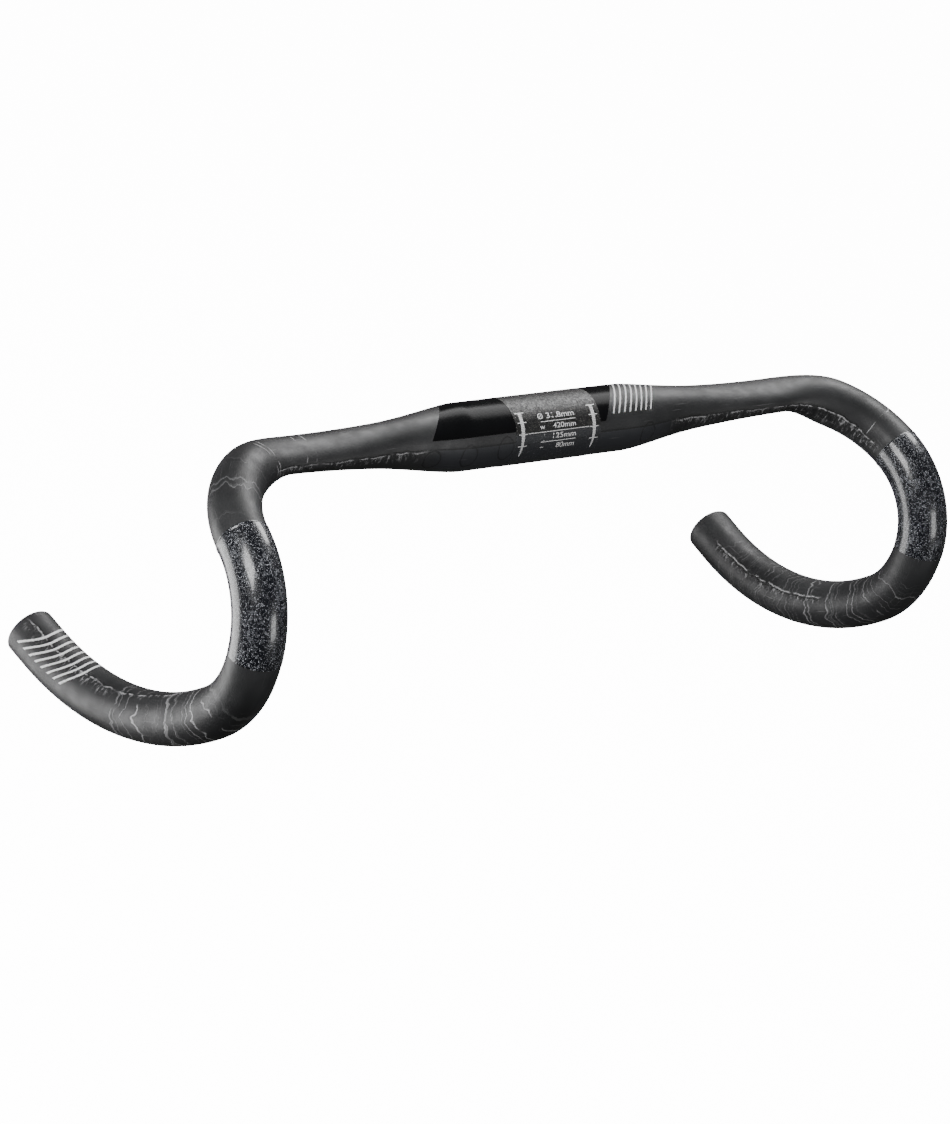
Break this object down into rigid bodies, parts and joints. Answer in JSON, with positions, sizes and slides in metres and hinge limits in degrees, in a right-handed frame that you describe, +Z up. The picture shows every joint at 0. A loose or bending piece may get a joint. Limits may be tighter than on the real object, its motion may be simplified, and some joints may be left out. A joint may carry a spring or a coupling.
{
  "type": "drop handlebar",
  "caption": "Compact carbon drop handlebar with a thick stem clamp zone, flattened tops, gritty clamping zones and open drop ends.",
  "frame": {"origin": "middle of the stem clamp zone, on its axis", "axes": "+X across the bar to the rider's left, +Y back towards the rider, +Z up"},
  "size_m": [0.4438, 0.1473, 0.1539],
  "materials": {
    "laminate": "matte unidirectional carbon fibre laminate",
    "inner_laminate": "raw carbon fibre laminate inside the tube",
    "clamp_grit": "fine gritty grip coating",
    "lever_grit": "coarse sparkling grit under gloss",
    "gloss_black": "gloss black lacquer",
    "white_ink": "printed white"
  },
  "bodies": {
    "root": {"centre_section": "laminate", "drop_left": "laminate", "drop_right": "laminate", "joint_sleeve_left": "inner_laminate", "joint_sleeve_right": "inner_laminate", "clamp_reinforcement": "inner_laminate", "lever_reinforcement_left": "inner_laminate", "lever_reinforcement_right": "inner_laminate", "end_reinforcement_left": "inner_laminate", "end_reinforcement_right": "inner_laminate", "clamp_grip_band": "clamp_grit", "lever_grip_left": "lever_grit", "lever_grip_right": "lever_grit", "gloss_panel_left": "gloss_black", "gloss_panel_right": "gloss_black", "size_table": "white_ink", "angle_scale_left": "white_ink", "angle_scale_right": "white_ink", "centre_stripes": "white_ink", "drop_stripes": "white_ink"}
  },
  "joints": []
}
